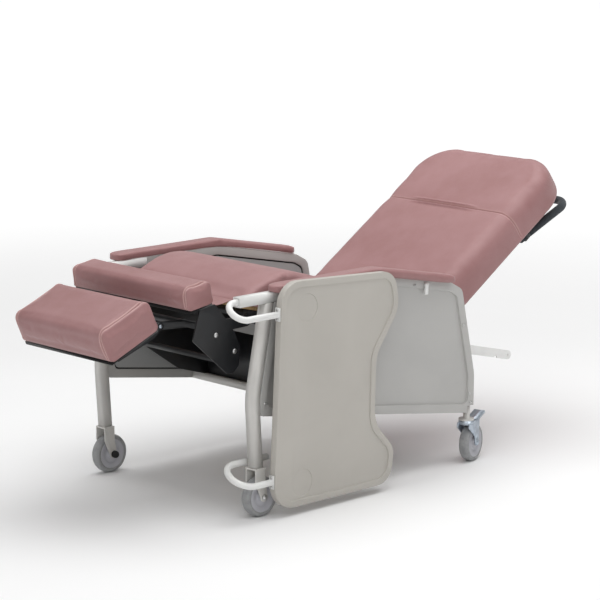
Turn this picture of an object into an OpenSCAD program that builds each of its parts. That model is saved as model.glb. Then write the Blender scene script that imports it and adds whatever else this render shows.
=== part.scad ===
// Patient recliner chair, reclined, with its meal tray stowed on the sitter's left.
// Front of the chair is -Y, up is +Z, the sitter's left is +X; the floor is z = 0.

/* [Frame] */
// Distance between the planes of the two side frames, which is also the front wheel track
track = 720; // [640:1:880]
// Height of the underside of the front half of the arm pads
arm_z = 692; // [680:1:840]
// Place of the front wheel axles in front of the chair's centre
front_axle_y = -456; // [-480:1:-440]
// Outer size of the square leg tube
leg_tube = 32; // [28:1:34]
// Outer size of the square crossbar tube
bar_tube = 25; // [20:1:30]
// Wall of the square tubes
tube_wall = 2; // [1.5:0.1:3]
// Thickness of the moulded side panels
panel_t = 26; // [24:1:32]
// Width of the raised rim around each side panel
rim_w = 28; // [26:1:36]

/* [Arms] */
// Thickness of the arm pads
arm_pad_t = 22; // [16:1:32]
// Width of the arm pads
arm_pad_w = 62; // [50:1:80]
// Outer size of the square socket under each arm
socket_w = 30; // [28:1:32]
// Radius of the round bar of the tray, which slides in the socket
tray_bar_r = 11; // [9:0.5:13.2]

/* [Cushions] */
// Space on each side between the side frame's plane and the seat cushion
seat_side_gap = 80; // [70:1:100]
// Angle of the backrest above the horizontal when reclined
back_tilt = 33.5; // [28:0.5:40]
// Length of the backrest above its hinge
back_len = 785; // [650:1:950]
// Thickness of the backrest
back_t = 116; // [100:1:130]
// Length of the legrest pad
calf_len = 105; // [85:1:125]
// Thickness of the legrest pad
calf_t = 68; // [56:1:82]
// Length of the footrest pad
foot_len = 210; // [175:1:260]
// Thickness of the footrest pad
foot_t = 100; // [80:1:110]

/* [Wheels] */
// Diameter of all four wheels
wheel_d = 125; // [100:1:150]
// Width of the tyres
tyre_w = 32; // [26:1:38]
// Distance from a caster's swivel axis to its wheel axle
trail = 36; // [30:1:44]
// Radius of the wheel axles
axle_r = 5; // [4:0.5:6]

/* [Tray] */
// Thickness of the moulded tray
tray_t = 24; // [18:1:28]
// Height of the tray as it hangs
tray_len = 700; // [600:1:705]
// Diameter of the cup recesses
cup_d = 86; // [70:1:100]

/* [Hidden] */
$fn = 48;

// Clearances: radial in a running bore, between faces of one body, and between bodies
bore_gap = 0.05;
face_gap = 0.2;
body_gap = 0.5;

// Colours
vinyl = [0.66, 0.50, 0.49];
white_paint = [0.86, 0.86, 0.85];
panel_grey = [0.66, 0.65, 0.63];
tray_grey = [0.69, 0.67, 0.63];
black_steel = [0.07, 0.07, 0.08];
zinc = [0.70, 0.74, 0.78];
rubber = [0.42, 0.43, 0.40];
hub_grey = [0.66, 0.66, 0.69];
handle_grey = [0.22, 0.24, 0.26];
board_wood = [0.62, 0.50, 0.36];

// Frame
frame_x = track / 2;
panel_out = frame_x + leg_tube / 2;
panel_in = panel_out - panel_t;
outer_recess = 8;
inner_recess = 6;
flange_t = 3.5;
arm_front_y = -418;
arm_bend_y = 15;
arm_rear_y = 371;
arm_slope = 0.2;
socket_front_y = -545;
socket_rear_y = -300;
socket_depth = 165;
socket_x = frame_x;
socket_z = arm_z - flange_t - socket_w / 2;
panel_top_z = arm_z - flange_t - 2 * face_gap;
wheel_r = wheel_d / 2;
fork_in = tyre_w / 2 + 3;
fork_wall = 4;
fork_top = wheel_d + 20;
leg_bottom_z = wheel_d + 30;
leg_top = [-425, socket_z - socket_w / 2];
leg_bend = [-484, 370];
leg_foot = [-471, leg_bottom_z];
leg_bend_r = 260;

// Bottom edge of the side panels, which falls towards the rear
panel_fall = 0.154;
function panel_bottom(y) = fork_top + 23.5 + (484 - y) * panel_fall;
function arm_under(y) = y < arm_bend_y ? arm_z : arm_z - (y - arm_bend_y) * arm_slope;
// Rear face of the front leg at a height above its bend
function leg_rear(z) = let (k = (z - leg_bend.y) / (leg_top.y - leg_bend.y))
    leg_bend.x + (leg_top.x - leg_bend.x) * k + leg_tube / 2 * 1.03 + 2.5;

panel_outline = [
    [leg_rear(leg_bend.y), leg_bend.y], [-462, panel_bottom(-462)], [484, panel_bottom(484)],
    [486, 300], [424, arm_under(arm_rear_y) - 32], [374, arm_under(374) - flange_t - 2 * face_gap],
    [arm_bend_y, panel_top_z], [socket_rear_y + 2, panel_top_z],
    [socket_rear_y + 2, socket_z - socket_w / 2 - face_gap],
    [leg_rear(leg_top.y), socket_z - socket_w / 2 - face_gap],
];
panel_radii = [40, 14, 8, 120, 34, 30, 60, 3, 1.5, 3];
recess_radii = [20, 20, 18, 60, 26, 20, 50, 6, 4, 12];

// Casters: swivel axis, and how far each stands turned
stem_r = 11;
stem_y = 468;
stem_top = 255;
raceway_r = 26;
caster_turn = [17, -10];
kingpin_r = 6;

// Crossbars and the black side plates of the mechanism
front_bar_y = -93;
rear_bar_y = 400;
seat_half = frame_x - seat_side_gap;
base_plate_x = seat_half + 5;
base_plate_t = 6;
shield_t = 2;
shield_top = 445;
seat_pivot = [-100, 470];
seat_pin_r = 8;

// Seat: underside of the cushion is a plane that falls towards the rear
seat_slope = 0.25;
board_t = 12;
rail_h = 30;
rail_out = seat_half - 20.5;
rail_in = rail_out - 25;
function under(y) = 530 - y * seat_slope;
function rail_top(y) = under(y) - board_t - 2 * face_gap;

// Back: hinge axis, and its frame of reference with Y up the backrest and Z out of its front
back_hinge = [368, 476];
back_half = frame_x - 60;
back_corner_r = 140;
back_pin_r = 6;
seat_ear_x = back_half + 3;
back_ear_x = back_half + 10;
ear_t = 5;
pocket_half = back_half - 38;
pocket_depth = 28;
back_tube = 22;
back_bar_y = 90;

// Push handle, in the backrest's frame of reference
handle_r = 14;
handle_half = pocket_half + 3;
handle_start_y = 500;
handle_arm = 266;
handle_bend_r = 50;
handle_tilt = -10.65;

// Legrest and footrest
leg_hinge = [-420, 588];
leg_pin_r = 7;
leg_plate_x = rail_out + 2.5;
leg_plate_t = 5;
calf_half = seat_half - 5;
calf_centre = [-613.5, 690];
calf_tilt = 9;
calf_board_t = 10;
foot_half = frame_x - 145;
foot_centre = [-833, 605];
foot_tilt = 23.3;
foot_board_t = 10;
foot_hinge_local = [foot_len / 2 + 17, -foot_t / 2 - 12];
foot_hinge = foot_centre + [
    foot_hinge_local.x * cos(foot_tilt) - foot_hinge_local.y * sin(foot_tilt),
    foot_hinge_local.x * sin(foot_tilt) + foot_hinge_local.y * cos(foot_tilt)];
foot_pin_r = 5;
foot_arm_x = 175;
foot_arm_t = 6;
leg_tube_front = [-590, 590];
leg_tube_low = [-500, 470];
function calf_under(y) = calf_centre.y + (y - calf_centre.x) * tan(calf_tilt)
    - (calf_t / 2 + calf_board_t + 2 * face_gap) / cos(calf_tilt);

// Tray
arm_pad_x = frame_x + 16;
tray_in = arm_pad_x + arm_pad_w / 2 + 5;
tray_out = tray_in + tray_t;
tray_mid = (tray_in + tray_out) / 2;
tray_top_z = arm_z + 36;
tray_low_z = tray_top_z - tray_len;
tray_lean = 0.052;
function tray_front(z) = -437 - (tray_top_z - 166 - z) * tray_lean;
tray_tube_r = 10;
tray_end_upper = tray_top_z - 97;
tray_end_lower = tray_low_z + 91;
tray_return = [frame_x - leg_tube / 2 - 19, tray_end_lower + 49];
tray_bar_rear = -392;
plate_y_gap = 5;
tray_outline = [
    [tray_front(tray_low_z), tray_low_z], [34, tray_low_z], [52, tray_low_z + 110],
    [-36, tray_low_z + 205], [-30, tray_low_z + 420], [72, tray_low_z + 560],
    [50, tray_top_z - 24], [tray_front(tray_top_z), tray_top_z],
];
tray_radii = [76, 62, 60, 110, 110, 90, 60, 72];
tray_rim = 20;

// Position bar, which slides along its own slope
bar_x = frame_x - 32.5;
bar_t = 5;
bar_h = 30;
bar_slope = 13.8;
bar_rear = [716, 319];
bar_len = 531;

// Release lever
lever_y = 250;
lever_z = arm_under(250) - 18;
lever_r = 8;

// ---- Shapes ----

// Arc that rounds the corner at b between a and c
function corner(a, b, c, r, n) = let (
    u = (a - b) / norm(a - b),
    v = (c - b) / norm(c - b),
    half = acos(u * v) / 2,
    o = b + (u + v) / norm(u + v) * r / sin(half),
    s = b + u * r / tan(half) - o,
    e = b + v * r / tan(half) - o,
    from = atan2(s.y, s.x),
    turn = (atan2(e.y, e.x) - from + 540) % 360 - 180)
    [for (i = [0 : n]) o + r * [cos(from + turn * i / n), sin(from + turn * i / n)]];
function before(p, i) = p[(i + len(p) - 1) % len(p)];
function after(p, i) = p[(i + 1) % len(p)];
function rounded(p, r, n = 5) = [for (i = [0 : len(p) - 1])
    each corner(before(p, i), p[i], after(p, i), is_list(r) ? r[i] : r, n)];

// The outline moved inwards by d; its points run counter-clockwise
function left_of(a, b) = let (u = (b - a) / norm(b - a)) [-u.y, u.x];
function inset(p, d) = [for (i = [0 : len(p) - 1]) let (
    m = left_of(before(p, i), p[i]),
    n = left_of(p[i], after(p, i)))
    p[i] + d * (m + n) / (1 + m * n)];

// A prism along X of an outline in Y and Z
module side_prism(p, x0, x1) {
    translate([x0, 0, 0])
        rotate([90, 0, 90])
            linear_extrude(x1 - x0)
                polygon(p);
}

module rod_x(p, r, x0, x1) {
    translate([x0, p.x, p.y])
        rotate([0, 90, 0])
            cylinder(r = r, h = x1 - x0);
}

// A flat link with round ends from p to q
module link(p, q, w, x0, x1) {
    u = (q - p) / norm(q - p) * w / 2;
    side_prism([p + [u.y, -u.x], q + [u.y, -u.x], q + [-u.y, u.x], p + [-u.y, u.x]], x0, x1);
    rod_x(p, w / 2, x0, x1);
    rod_x(q, w / 2, x0, x1);
}

// An ear is a flat lug with rounded ends that reaches from p to q
module ear(p, q, w, x0, x1) {
    u = (q - p) / norm(q - p) * w / 2;
    n = [-u.y, u.x];
    side_prism(rounded([p - u - n, q + u - n, q + u + n, p - u + n], w / 2 - 1, 9), x0, x1);
}

module both_sides() {
    children();
    mirror([1, 0, 0]) children();
}

module one_side(left) {
    mirror([left ? 0 : 1, 0, 0]) children();
}

module box(lo, hi) {
    translate(lo) cube(hi - lo);
}

module at_back() {
    translate([0, back_hinge.x, back_hinge.y]) rotate([back_tilt, 0, 0]) children();
}

module at_calf() {
    translate([0, calf_centre.x, calf_centre.y]) rotate([calf_tilt, 0, 0]) children();
}

module at_foot() {
    translate([0, foot_centre.x, foot_centre.y]) rotate([foot_tilt, 0, 0]) children();
}

module at_caster(left) {
    translate([left ? frame_x : -frame_x, stem_y, 0])
        rotate([0, 0, caster_turn[left ? 0 : 1]])
            children();
}

// ---- Side frames ----

module side_panel(left) {
    color(panel_grey)
        one_side(left)
            difference() {
                side_prism(rounded(panel_outline, panel_radii), panel_in, panel_out);
                side_prism(rounded(inset(panel_outline, rim_w), recess_radii),
                    panel_out - outer_recess, panel_out + 1);
                side_prism(rounded(inset(panel_outline, rim_w), recess_radii),
                    panel_in - 1, panel_in + inner_recess);
                translate([frame_x, stem_y, 0])
                    cylinder(r = stem_r + bore_gap, h = stem_top + 2);
                box([panel_in - 1, stem_y - stem_r - 2, 0], [panel_out + 1, 520, 195]);
            }
}

module panel_liners() {
    color(panel_grey)
        both_sides()
            side_prism(rounded(inset(panel_outline, rim_w + 5), [for (r = recess_radii) max(r - 3, 2)]),
                panel_in + inner_recess - 3.5, panel_in + inner_recess - face_gap);
}

screw_places = [[462, 236], [469, 206], [-446, 352], [-392, 640], [430, 470], [200, 630], [-100, 668]];
module panel_screws() {
    color(zinc)
        both_sides()
            for (p = screw_places)
                rod_x(p, 4.5, panel_out + face_gap, panel_out + 3);
}

// Square steel tube, bent once, open at both ends
module leg_shape(w, over) {
    up = (leg_top - leg_bend) / norm(leg_top - leg_bend);
    down = (leg_foot - leg_bend) / norm(leg_foot - leg_bend);
    line = [leg_top + up * 2 * over, leg_bend, leg_foot + down * 2 * over];
    bend = corner(line[0], line[1], line[2], leg_bend_r, 8);
    way = [line[0], each bend, line[2]];
    side = [for (i = [0 : len(way) - 1])
        let (a = way[max(i - 1, 0)], b = way[min(i + 1, len(way) - 1)]) left_of(a, b) * w / 2];
    intersection() {
        side_prism([
            for (i = [0 : len(way) - 1]) way[i] + side[i],
            for (i = [len(way) - 1 : -1 : 0]) way[i] - side[i]], frame_x - w / 2, frame_x + w / 2);
        box([0, -600, leg_foot.y - over], [frame_x * 2, 0, leg_top.y - face_gap + over]);
    }
}

module front_leg(left) {
    color(white_paint)
        one_side(left)
            difference() {
                leg_shape(leg_tube, 0.01);
                leg_shape(leg_tube - 2 * tube_wall, 5);
            }
}

module front_fork(left) {
    color(white_paint)
        one_side(left)
            translate([frame_x, 0, 0])
                difference() {
                    union() {
                        box([-fork_in - fork_wall, leg_foot.x - 20, leg_bottom_z - 5 - face_gap],
                            [fork_in + fork_wall, leg_foot.x + 20, leg_bottom_z - face_gap]);
                        for (s = [-1, 1])
                            translate([s * (fork_in + fork_wall / 2), 0, 0])
                                fork_side();
                    }
                    rod_x([front_axle_y, wheel_r], axle_r + bore_gap, -60, 60);
                }
}

module fork_side() {
    side_prism([
        [leg_foot.x - 20, leg_bottom_z - face_gap], [leg_foot.x - 20, leg_bottom_z - 45],
        [front_axle_y - 14, wheel_r], [front_axle_y + 14, wheel_r],
        [leg_foot.x + 20, leg_bottom_z - 45], [leg_foot.x + 20, leg_bottom_z - face_gap]],
        -fork_wall / 2, fork_wall / 2);
    rod_x([front_axle_y, wheel_r], 14, -fork_wall / 2, fork_wall / 2);
}

// Axle bolt of a wheel at the origin's x, with its head and nut outside the fork
module axle_bolt(y) {
    half = fork_in + fork_wall;
    rod_x([y, wheel_r], axle_r, -half - 5, half + 5);
    rod_x([y, wheel_r], axle_r + 4, half + face_gap, half + 5);
    rod_x([y, wheel_r], axle_r + 5, -half - 6, -half - face_gap);
}

module front_axles() {
    color(zinc)
        both_sides()
            translate([frame_x, 0, 0])
                axle_bolt(front_axle_y);
}

// ---- Arms ----

module arm_socket(left) {
    color(white_paint)
        one_side(left)
            difference() {
                box([socket_x - socket_w / 2, socket_front_y, socket_z - socket_w / 2],
                    [socket_x + socket_w / 2, socket_rear_y, socket_z + socket_w / 2]);
                translate([socket_x, socket_front_y - 1, socket_z])
                    rotate([-90, 0, 0])
                        cylinder(r = tray_bar_r + bore_gap, h = socket_depth + 1);
            }
}

module arm_flanges() {
    color(white_paint)
        both_sides()
            side_prism([
                [arm_front_y + 14, arm_z - flange_t], [arm_bend_y, arm_z - flange_t],
                [arm_rear_y - 10, arm_under(arm_rear_y - 10) - flange_t],
                [arm_rear_y - 10, arm_under(arm_rear_y - 10) - face_gap],
                [arm_bend_y, arm_z - face_gap], [arm_front_y + 14, arm_z - face_gap]],
                panel_in, panel_out + 8);
}

module arm_pad(left) {
    tip = arm_under(arm_rear_y);
    color(vinyl)
        one_side(left)
            intersection() {
                side_prism(rounded([
                    [arm_front_y, arm_z], [arm_bend_y, arm_z], [arm_rear_y, tip],
                    [arm_rear_y + 1, tip + arm_pad_t - 1], [arm_bend_y, arm_z + arm_pad_t],
                    [arm_front_y, arm_z + arm_pad_t]], [5, 60, 4, 9, 60, 10]), 0, track);
                translate([arm_pad_x - arm_pad_w / 2, arm_front_y, 0])
                    linear_extrude(2 * arm_z)
                        polygon(rounded([
                            [0, 0], [arm_pad_w, 0], [arm_pad_w, arm_rear_y + 1 - arm_front_y],
                            [0, arm_rear_y + 1 - arm_front_y]], arm_pad_w / 2 - 3));
            }
}

// ---- Cross members, mechanism plates, caster stems ----

module square_tube_x(y, z, w, half) {
    difference() {
        box([-half, y - w / 2, z], [half, y + w / 2, z + w]);
        box([-half - 1, y - w / 2 + tube_wall, z + tube_wall],
            [half + 1, y + w / 2 - tube_wall, z + w - tube_wall]);
    }
}

front_bar_z = panel_bottom(front_bar_y) + 2;
module crossbars() {
    color(panel_grey) {
        square_tube_x(front_bar_y, front_bar_z, bar_tube, panel_in - face_gap);
        square_tube_x(rear_bar_y, panel_bottom(rear_bar_y) + 5, bar_tube, panel_in - face_gap);
    }
}

module mechanism_plates() {
    color(black_steel)
        both_sides()
            difference() {
                side_prism(rounded([
                    [front_bar_y - 15, front_bar_z + bar_tube + face_gap],
                    [front_bar_y + 15, front_bar_z + bar_tube + face_gap],
                    [-40, 420], [20, 480], [-20, 518], [-380, 560], [-408, 520], [-385, 432],
                    [-220, 318]], [2, 2, 30, 18, 18, 12, 12, 20, 20]),
                    base_plate_x, base_plate_x + base_plate_t);
                rod_x(seat_pivot, seat_pin_r + bore_gap, 0, track);
            }
}

// Sheet that closes the space between the mechanism plates above the front crossbar
module mechanism_shield() {
    color(black_steel)
        box([-base_plate_x + face_gap, front_bar_y - shield_t / 2, front_bar_z + bar_tube + face_gap],
            [base_plate_x - face_gap, front_bar_y + shield_t / 2, shield_top]);
}

module mechanism_spacers() {
    color(black_steel)
        both_sides()
            for (p = [[-330, 480], [-60, 450]])
                rod_x(p, 10, base_plate_x + base_plate_t + face_gap, panel_in + inner_recess - 3.7);
}

module seat_pivot_pins() {
    color(zinc)
        both_sides() {
            rod_x(seat_pivot, seat_pin_r, base_plate_x - 11, base_plate_x + base_plate_t + 1);
            rod_x(seat_pivot, seat_pin_r + 5, base_plate_x + base_plate_t + face_gap,
                base_plate_x + base_plate_t + 5);
        }
}

// Frame of reference of the position bar, with Y along it towards the rear
module at_bar() {
    translate([bar_x, bar_rear.x, bar_rear.y]) rotate([-bar_slope, 0, 0]) children();
}

module position_bar() {
    color(white_paint)
        at_bar()
            difference() {
                union() {
                    box([-bar_t / 2, -bar_len, -bar_h / 2], [bar_t / 2, -bar_h / 2, bar_h / 2]);
                    rod_x([-bar_h / 2, 0], bar_h / 2, -bar_t / 2, bar_t / 2);
                }
                rod_x([-bar_h / 2 - 2, 0], 4, -bar_t, bar_t);
                rod_x([-75, -bar_h / 2], 7, -bar_t, bar_t);
            }
}

module bar_guide() {
    slide = bar_t / 2 + body_gap;
    color(black_steel)
        at_bar()
            difference() {
                box([-12, -310, -26], [panel_in - bar_x - 1.2, -280, 26]);
                box([-slide, -311, -bar_h / 2 - body_gap], [slide, -279, bar_h / 2 + body_gap]);
            }
}

module caster_stems() {
    color(white_paint)
        both_sides()
            translate([frame_x, stem_y, 0]) {
                translate([0, 0, fork_top + 0.4]) cylinder(r = raceway_r, h = 5);
                translate([0, 0, fork_top + 2]) cylinder(r = stem_r, h = stem_top - fork_top - 2);
                translate([0, 0, fork_top - 15]) cylinder(r = kingpin_r, h = 17);
            }
}

module release_lever() {
    color(white_paint)
        difference() {
            union() {
                rod_x([lever_y, lever_z], lever_r, panel_out + 1, panel_out + 9);
                side_prism(rounded([
                    [lever_y - 6, lever_z], [lever_y - 10, lever_z - 30],
                    [lever_y + 4, lever_z - 32], [lever_y + 6, lever_z]], 2), panel_out + 3, panel_out + 9);
            }
            rod_x([lever_y, lever_z], 2.5, panel_out, panel_out + 4);
        }
}

// ---- Seat ----

module seat_cushion() {
    color(vinyl)
        side_prism([
            [-446, under(-446)], [302, under(302)], [318, 557], [-215, 713], [-245, 717],
            [-272, 718], [-300, 714], [-328, 705], [-369, 686], [-415, 664], [-440, 654]],
            -seat_half, seat_half);
}

module seat_board() {
    half = rail_out + 2;
    color(board_wood)
        side_prism([
            [-430, under(-430) - board_t], [294, under(294) - board_t],
            [294, under(294) - face_gap], [-430, under(-430) - face_gap]], -half, half);
}

module seat_rails() {
    color(black_steel)
        both_sides()
            difference() {
                union() {
                    side_prism([
                        [-404, rail_top(-404) - rail_h], [272, rail_top(272) - rail_h],
                        [272, rail_top(272)], [-404, rail_top(-404)]], rail_in, rail_out);
                    link([-395, rail_top(-395) - 17], leg_hinge, 30, rail_out - 6, rail_out);
                }
                rod_x(leg_hinge, leg_pin_r + bore_gap, 0, track);
            }
}

// Cross tubes of the seat; the middle and rear ones carry the ears of the seat pivot and the back hinge
module seat_cross_tubes() {
    mid_z = rail_top(seat_pivot.x) - rail_h - 1;
    rear_z = rail_top(290) - 30;
    mid_half = base_plate_x - 9 - face_gap;
    rear_half = seat_ear_x - face_gap;
    color(black_steel) {
        box([-rail_in + face_gap, -390, rail_top(-365) - 24], [rail_in - face_gap, -366, rail_top(-365)]);
        box([-mid_half, seat_pivot.x - 12, mid_z - 24], [mid_half, seat_pivot.x + 12, mid_z - 4]);
        both_sides()
            difference() {
                ear(seat_pivot, [seat_pivot.x, mid_z - 14], 34, base_plate_x - 9, base_plate_x - 3);
                rod_x(seat_pivot, seat_pin_r + bore_gap, 0, track);
            }
        box([-rear_half, 274, rear_z], [rear_half, 298, rear_z + 24]);
        both_sides()
            difference() {
                ear(back_hinge, [286, rear_z + 12], 30, seat_ear_x, seat_ear_x + ear_t);
                rod_x(back_hinge, back_pin_r + bore_gap, 0, track);
            }
    }
}

module seat_flap() {
    half = rail_in - 2;
    color(vinyl)
        side_prism([
            [-449, 650], [-470, 641], [-490, 638], [-510, 641], [-528, 648],
            [-528, 652], [-510, 645], [-490, 642], [-470, 645], [-449, 654]], -half, half);
}

module back_hinge_pins() {
    color(zinc)
        both_sides() {
            rod_x(back_hinge, back_pin_r, seat_ear_x - 1, back_ear_x + ear_t + 1);
            rod_x(back_hinge, back_pin_r + 4, back_ear_x + ear_t + body_gap, back_ear_x + ear_t + 4);
        }
}

module leg_hinge_pins() {
    color(zinc)
        both_sides() {
            rod_x(leg_hinge, leg_pin_r, rail_out - 8, leg_plate_x + leg_plate_t + 1);
            rod_x(leg_hinge, leg_pin_r + 4, leg_plate_x + leg_plate_t + body_gap,
                leg_plate_x + leg_plate_t + 5);
        }
}

// ---- Backrest ----

module back_cushion() {
    half_t = back_t / 2;
    color(vinyl)
        at_back()
            difference() {
                intersection() {
                    union() {
                        side_prism(rounded([
                            [0, -half_t], [back_len, -half_t], [back_len, half_t], [0, half_t]],
                            [0.5, half_t - 14, half_t - 8, 0.5]), -back_half, back_half);
                        rod_x([0, 0], half_t, -back_half, back_half);
                    }
                    translate([0, 0, -back_t])
                        linear_extrude(2 * back_t)
                            polygon(rounded([
                                [-back_half, -back_t], [back_half, -back_t],
                                [back_half, back_len], [-back_half, back_len]],
                            [2, 2, back_corner_r, back_corner_r], 9));
                }
                box([-pocket_half, 32, -back_t], [pocket_half, back_len - 60, pocket_depth - half_t]);
                box([-back_half - 1, back_bar_y - back_tube / 2 - 1, -back_t],
                    [back_half + 1, back_bar_y + back_tube / 2 + 1, pocket_depth - half_t]);
            }
}

back_rear = -back_t / 2;
module back_cover() {
    color(vinyl)
        at_back()
            translate([0, 0, back_rear])
                linear_extrude(5)
                    polygon(rounded([
                        [-pocket_half + body_gap, 33], [pocket_half - body_gap, 33],
                        [pocket_half - body_gap, back_len - 61],
                        [-pocket_half + body_gap, back_len - 61]], 8));
}

module back_uprights() {
    color(black_steel)
        at_back()
            both_sides()
                box([pocket_half - back_tube - 4, back_bar_y + back_tube / 2 + face_gap, back_rear + 5.5],
                    [pocket_half - 4, back_len - 100, back_rear + 5.5 + 20]);
}

module back_cross_tubes() {
    low = back_rear + 5.5;
    color(black_steel)
        at_back() {
            box([-back_ear_x - 2, back_bar_y - back_tube / 2, low],
                [back_ear_x + 2, back_bar_y + back_tube / 2, low + 20]);
            box([-pocket_half + 4, back_len - 100 + face_gap, low],
                [pocket_half - 4, back_len - 100 + back_tube, low + 20]);
            both_sides()
                difference() {
                    link([0, 0], [back_bar_y, low + 10], 28, back_ear_x, back_ear_x + ear_t);
                    rod_x([0, 0], back_pin_r + bore_gap, 0, track);
                }
        }
}

module push_handle() {
    run = handle_arm - handle_bend_r;
    color(handle_grey)
        at_back()
            translate([0, handle_start_y, back_rear - handle_r - 1])
                rotate([handle_tilt, 0, 0]) {
                    both_sides() {
                        translate([handle_half, 0, 0])
                            rotate([-90, 0, 0])
                                cylinder(r = handle_r, h = run);
                        translate([handle_half - handle_bend_r, run, 0])
                            rotate_extrude(angle = 90)
                                translate([handle_bend_r, 0])
                                    circle(r = handle_r);
                    }
                    rod_x([handle_arm, 0], handle_r, handle_bend_r - handle_half, handle_half - handle_bend_r);
                }
}

// ---- Legrest ----

module calf_pad() {
    color(vinyl)
        at_calf()
            side_prism(rounded([
                [-calf_len / 2, -calf_t / 2], [calf_len / 2, -calf_t / 2],
                [calf_len / 2, calf_t / 2], [-calf_len / 2, calf_t / 2]], 16), -calf_half, calf_half);
}

module calf_board() {
    top = -calf_t / 2 - face_gap;
    color(board_wood)
        at_calf()
            box([-calf_half + 6, -calf_len / 2 + 6, top - calf_board_t], [calf_half - 6, calf_len / 2 - 6, top]);
}

module leg_plates() {
    outline = [
        [-548, calf_under(-548) - face_gap], [-608, calf_under(-608) - face_gap], [-637, 554],
        [-500, 434], [-477, 434], [-453, 452], [-447, 509], [-470, 560], [-500, 600]];
    color(black_steel)
        both_sides()
            difference() {
                union() {
                    side_prism(rounded(outline, [2, 2, 10, 8, 8, 8, 20, 10, 10]),
                        leg_plate_x, leg_plate_x + leg_plate_t);
                    link([-520, 585], leg_hinge, 36, leg_plate_x, leg_plate_x + leg_plate_t);
                }
                rod_x(leg_hinge, leg_pin_r + bore_gap, 0, track);
            }
}

module leg_cross_tubes() {
    color(black_steel) {
        rod_x(leg_tube_front, 11, -leg_plate_x + face_gap, leg_plate_x - face_gap);
        rod_x(leg_tube_low, 9, -leg_plate_x + face_gap, leg_plate_x - face_gap);
        both_sides()
            difference() {
                link(leg_tube_front, foot_hinge, 26, foot_arm_x, foot_arm_x + foot_arm_t);
                rod_x(foot_hinge, foot_pin_r + bore_gap, 0, track);
            }
    }
}

module foot_hinge_pins() {
    color(zinc)
        both_sides() {
            rod_x(foot_hinge, foot_pin_r, foot_arm_x - 2, foot_arm_x + 2 * foot_arm_t + 5);
            rod_x(foot_hinge, foot_pin_r + 3, foot_arm_x - 5, foot_arm_x - face_gap);
        }
}

// ---- Footrest ----

module foot_pad() {
    color(vinyl)
        at_foot()
            side_prism(rounded([
                [-foot_len / 2, -foot_t / 2], [foot_len / 2, -foot_t / 2],
                [foot_len / 2, foot_t / 2], [-foot_len / 2, foot_t / 2]], 20), -foot_half, foot_half);
}

foot_board_low = -foot_t / 2 - foot_board_t - face_gap;
module foot_board() {
    color(board_wood)
        at_foot()
            box([-foot_half + 8, -foot_len / 2 + 8, foot_board_low],
                [foot_half - 8, foot_len / 2 - 8, -foot_t / 2 - face_gap]);
}

module foot_arms() {
    x0 = foot_arm_x + foot_arm_t + 1.5;
    p = foot_hinge_local;
    color(black_steel)
        at_foot()
            both_sides()
                difference() {
                    union() {
                        side_prism([
                            [-60, foot_board_low - face_gap], [-60, foot_board_low - 14],
                            [foot_len / 2 - 20, foot_board_low - 22], [p.x, p.y - 12],
                            [p.x, p.y], [foot_len / 2 - 2, foot_board_low - face_gap]],
                            x0, x0 + foot_arm_t);
                        rod_x(p, 12, x0, x0 + foot_arm_t);
                    }
                    rod_x(p, foot_pin_r + bore_gap, 0, track);
                }
}

// ---- Tray ----

module tray() {
    outline = rounded(tray_outline, tray_radii, 7);
    inner = rounded(inset(tray_outline, tray_rim), [for (r = tray_radii) r - 12], 7);
    color(tray_grey)
        difference() {
            side_prism(outline, tray_in, tray_out);
            side_prism(inner, tray_out - 4, tray_out + 1);
            side_prism(inner, tray_in - 1, tray_out - 10);
            for (p = [[-323, tray_top_z - 90], [-345, tray_low_z + 70]])
                rod_x(p, cup_d / 2, tray_out - 6, tray_out + 1);
        }
}

// Round tube that runs along Y, turns back on itself at y_bend and runs along Y again
module u_tube(p, p_rear, q, q_rear, y_bend, r) {
    d = q - p;
    mid = (p + q) / 2;
    translate([mid.x, y_bend, mid.y])
        rotate([0, -atan2(d.y, d.x), 0]) {
            rotate([0, 0, 180])
                rotate_extrude(angle = 180)
                    translate([norm(d) / 2, 0])
                        circle(r = r);
            translate([-norm(d) / 2, 0, 0]) rotate([-90, 0, 0]) cylinder(r = r, h = p_rear - y_bend);
            translate([norm(d) / 2, 0, 0]) rotate([-90, 0, 0]) cylinder(r = r, h = q_rear - y_bend);
        }
}

// End plate that fastens a tube to the tray's front edge
module end_plate(z) {
    y = tray_front(z) - plate_y_gap;
    box([tray_mid - 10, y, z - 21], [tray_mid + 10, y + 3, z + 21]);
}

module tray_tube_upper() {
    z = tray_end_upper;
    color(white_paint) {
        u_tube([socket_x, socket_z], tray_bar_rear - 5, [tray_mid, z], tray_front(z) - plate_y_gap + 1,
            socket_front_y - 10, tray_tube_r);
        translate([socket_x, socket_front_y - 5, socket_z])
            rotate([-90, 0, 0])
                cylinder(r = tray_bar_r, h = tray_bar_rear - socket_front_y + 5);
        end_plate(z);
    }
}

module tray_tube_lower() {
    z = tray_end_lower;
    color(white_paint) {
        u_tube(tray_return, tray_bar_rear, [tray_mid, z], tray_front(z) - plate_y_gap + 1,
            -528, tray_tube_r);
        end_plate(z);
    }
}

module tray_screws() {
    color(zinc)
        for (z = [tray_end_upper, tray_end_lower], s = [-15, 15])
            translate([tray_mid, tray_front(z) - plate_y_gap - face_gap, z + s])
                rotate([90, 0, 0])
                    cylinder(r = 4, h = 2.5);
}

// ---- Wheels: each is drawn about its axle at the origin, along X ----

rim_r = wheel_r - 14.5;
module tyre_shape() {
    half = tyre_w / 2;
    color(rubber)
        rotate([0, 90, 0])
            rotate_extrude($fn = 96)
                polygon([
                    [rim_r + 0.1, -half], [wheel_r - 6, -half], [wheel_r - 2, -half + 3],
                    [wheel_r, -half + 9], [wheel_r, half - 9], [wheel_r - 2, half - 3],
                    [wheel_r - 6, half], [rim_r + 0.1, half]]);
}

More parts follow.
